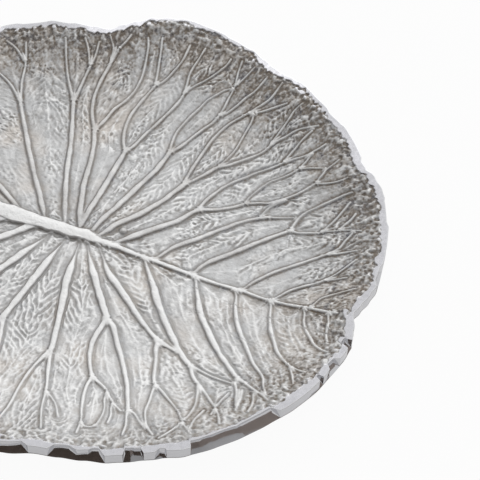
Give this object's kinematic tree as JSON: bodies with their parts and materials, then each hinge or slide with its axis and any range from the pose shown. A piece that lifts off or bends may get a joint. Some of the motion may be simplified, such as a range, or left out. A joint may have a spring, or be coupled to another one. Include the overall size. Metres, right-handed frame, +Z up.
{
  "type": "leaf shaped plate",
  "caption": "Shallow round serving plate cast as a cabbage leaf, with a veined, antiqued well, a polished wavy rim and soft pads to rest on.",
  "frame": {"origin": "on the surface that the plate stands on, under the middle of its outline", "axes": "+X from the stalk's end of the midrib to the leaf's tip, +Z up out of the well"},
  "size_m": [0.2982, 0.293, 0.0226],
  "materials": {
    "casting": "sand cast leaf relief under a brown grey patina, rim band polished bright",
    "pad": "matt"
  },
  "bodies": {
    "root": {"leaf_casting": "casting", "pad_tip_left": "pad", "pad_tip_right": "pad", "pad_stalk_left": "pad", "pad_stalk_right": "pad"}
  },
  "joints": []
}
